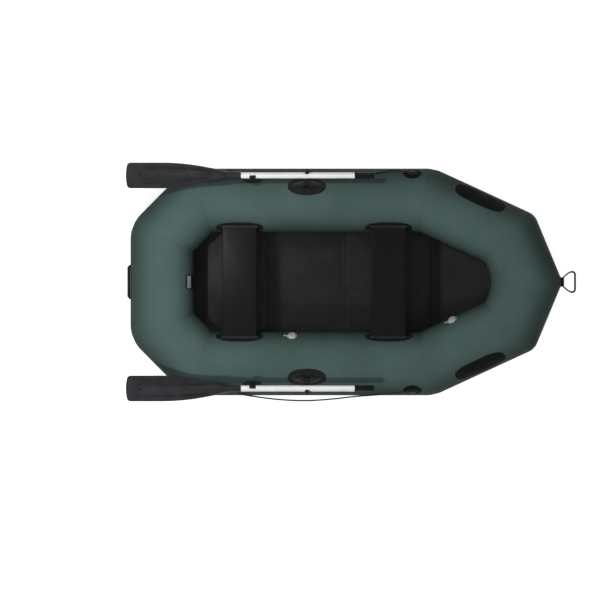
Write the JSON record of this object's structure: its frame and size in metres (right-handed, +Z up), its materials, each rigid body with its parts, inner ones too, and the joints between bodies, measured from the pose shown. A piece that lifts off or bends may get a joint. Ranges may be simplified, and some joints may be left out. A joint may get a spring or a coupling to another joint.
{
  "type": "inflatable rowing dinghy",
  "caption": "Inflatable dinghy with a closed tube, boarded floor, bench seats and two oars on pin rowlocks, for rowing on calm water.",
  "frame": {"origin": "centre of the footprint of the boat with its parked oars, on the floor that it stands on", "axes": "+X to the bow, +Y to port, +Z up"},
  "size_m": [2.501, 1.3298, 0.4653],
  "materials": {
    "hull_fabric": "satin coated fabric",
    "black_fabric": "matt",
    "floor_board": "textured",
    "seat_board": "satin",
    "black_plastic": "moulded",
    "oar_aluminium": "anodised",
    "oar_grip": "ribbed",
    "valve_plastic": "moulded",
    "grab_line": "braided",
    "plate": "bare"
  },
  "bodies": {
    "hull": {"stern_tube": "hull_fabric", "port_quarter_tube": "hull_fabric", "starboard_quarter_tube": "hull_fabric", "port_side_tube": "hull_fabric", "starboard_side_tube": "hull_fabric", "port_bow_tube": "hull_fabric", "starboard_bow_tube": "hull_fabric", "port_nose_tube": "hull_fabric", "starboard_nose_tube": "hull_fabric", "bottom_sheet": "black_fabric", "bow_sheet": "black_fabric", "stern_floor_board": "floor_board", "aft_floor_board": "floor_board", "fore_floor_board": "floor_board", "bow_floor_board": "floor_board", "floor_hinge_strips": "black_fabric", "stern_seat": "seat_board", "bow_seat": "seat_board", "port_stern_seat_holder": "black_plastic", "port_bow_seat_holder": "black_plastic", "port_rowlock_base": "black_plastic", "port_oar_clip": "black_plastic", "port_fore_line_eyelet": "black_plastic", "port_aft_line_eyelet": "black_plastic", "port_bow_patch": "black_fabric", "port_grab_line": "grab_line", "starboard_stern_seat_holder": "black_plastic", "starboard_bow_seat_holder": "black_plastic", "starboard_rowlock_base": "black_plastic", "starboard_oar_clip": "black_plastic", "starboard_fore_line_eyelet": "black_plastic", "starboard_aft_line_eyelet": "black_plastic", "starboard_bow_patch": "black_fabric", "starboard_grab_line": "grab_line", "bow_handle": "black_plastic", "stern_handle": "black_plastic", "side_valve": "valve_plastic", "bow_valve": "valve_plastic", "stern_plate": "plate"},
    "port_rowlock": {"port_rowlock_swivel": "black_plastic", "port_pin_cap": "black_plastic"},
    "port_oar": {"port_oar_shaft": "oar_aluminium", "port_oar_blade": "black_plastic", "port_oar_grip": "oar_grip"},
    "starboard_rowlock": {"starboard_rowlock_swivel": "black_plastic", "starboard_pin_cap": "black_plastic"},
    "starboard_oar": {"starboard_oar_shaft": "oar_aluminium", "starboard_oar_blade": "black_plastic", "starboard_oar_grip": "oar_grip"}
  },
  "joints": [
    {"name": "port_rowlock_tilt", "type": "hinge", "parent": "hull", "child": "port_rowlock", "pos_m": [-0.2445, 0.54269, 0.35888], "axis": [1, 0, 0], "range_deg": [0, 65]},
    {"name": "port_oar_swing", "type": "hinge", "parent": "port_rowlock", "child": "port_oar", "pos_m": [-0.2445, 0.59173, 0.40304], "axis": [0, -0.7431, -0.6691], "range_deg": [0, 140]},
    {"name": "starboard_rowlock_tilt", "type": "hinge", "parent": "hull", "child": "starboard_rowlock", "pos_m": [-0.2445, -0.54269, 0.35888], "axis": [-1, 0, 0], "range_deg": [0, 65]},
    {"name": "starboard_oar_swing", "type": "hinge", "parent": "starboard_rowlock", "child": "starboard_oar", "pos_m": [-0.2445, -0.59173, 0.40304], "axis": [0, -0.7431, 0.6691], "range_deg": [0, 140]}
  ]
}
